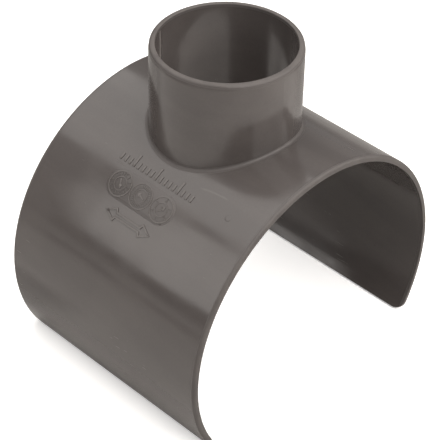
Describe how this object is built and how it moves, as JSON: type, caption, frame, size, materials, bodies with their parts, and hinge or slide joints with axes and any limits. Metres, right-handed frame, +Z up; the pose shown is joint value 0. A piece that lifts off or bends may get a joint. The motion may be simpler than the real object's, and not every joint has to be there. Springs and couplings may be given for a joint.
{
  "type": "tapping saddle",
  "caption": "Thin plastic saddle that snaps over a drain pipe and carries an upright branch tube on its crown.",
  "frame": {"origin": "where the axis of the pipe that the saddle grips crosses the axis of the branch tube", "axes": "+X along the pipe, +Z up the branch tube, Y across the pipe from one foot to the other"},
  "size_m": [0.088, 0.114, 0.1151],
  "materials": {
    "grey_plastic": "semi-gloss moulded, dark warm grey"
  },
  "bodies": {
    "root": {"saddle": "grey_plastic"}
  },
  "joints": []
}
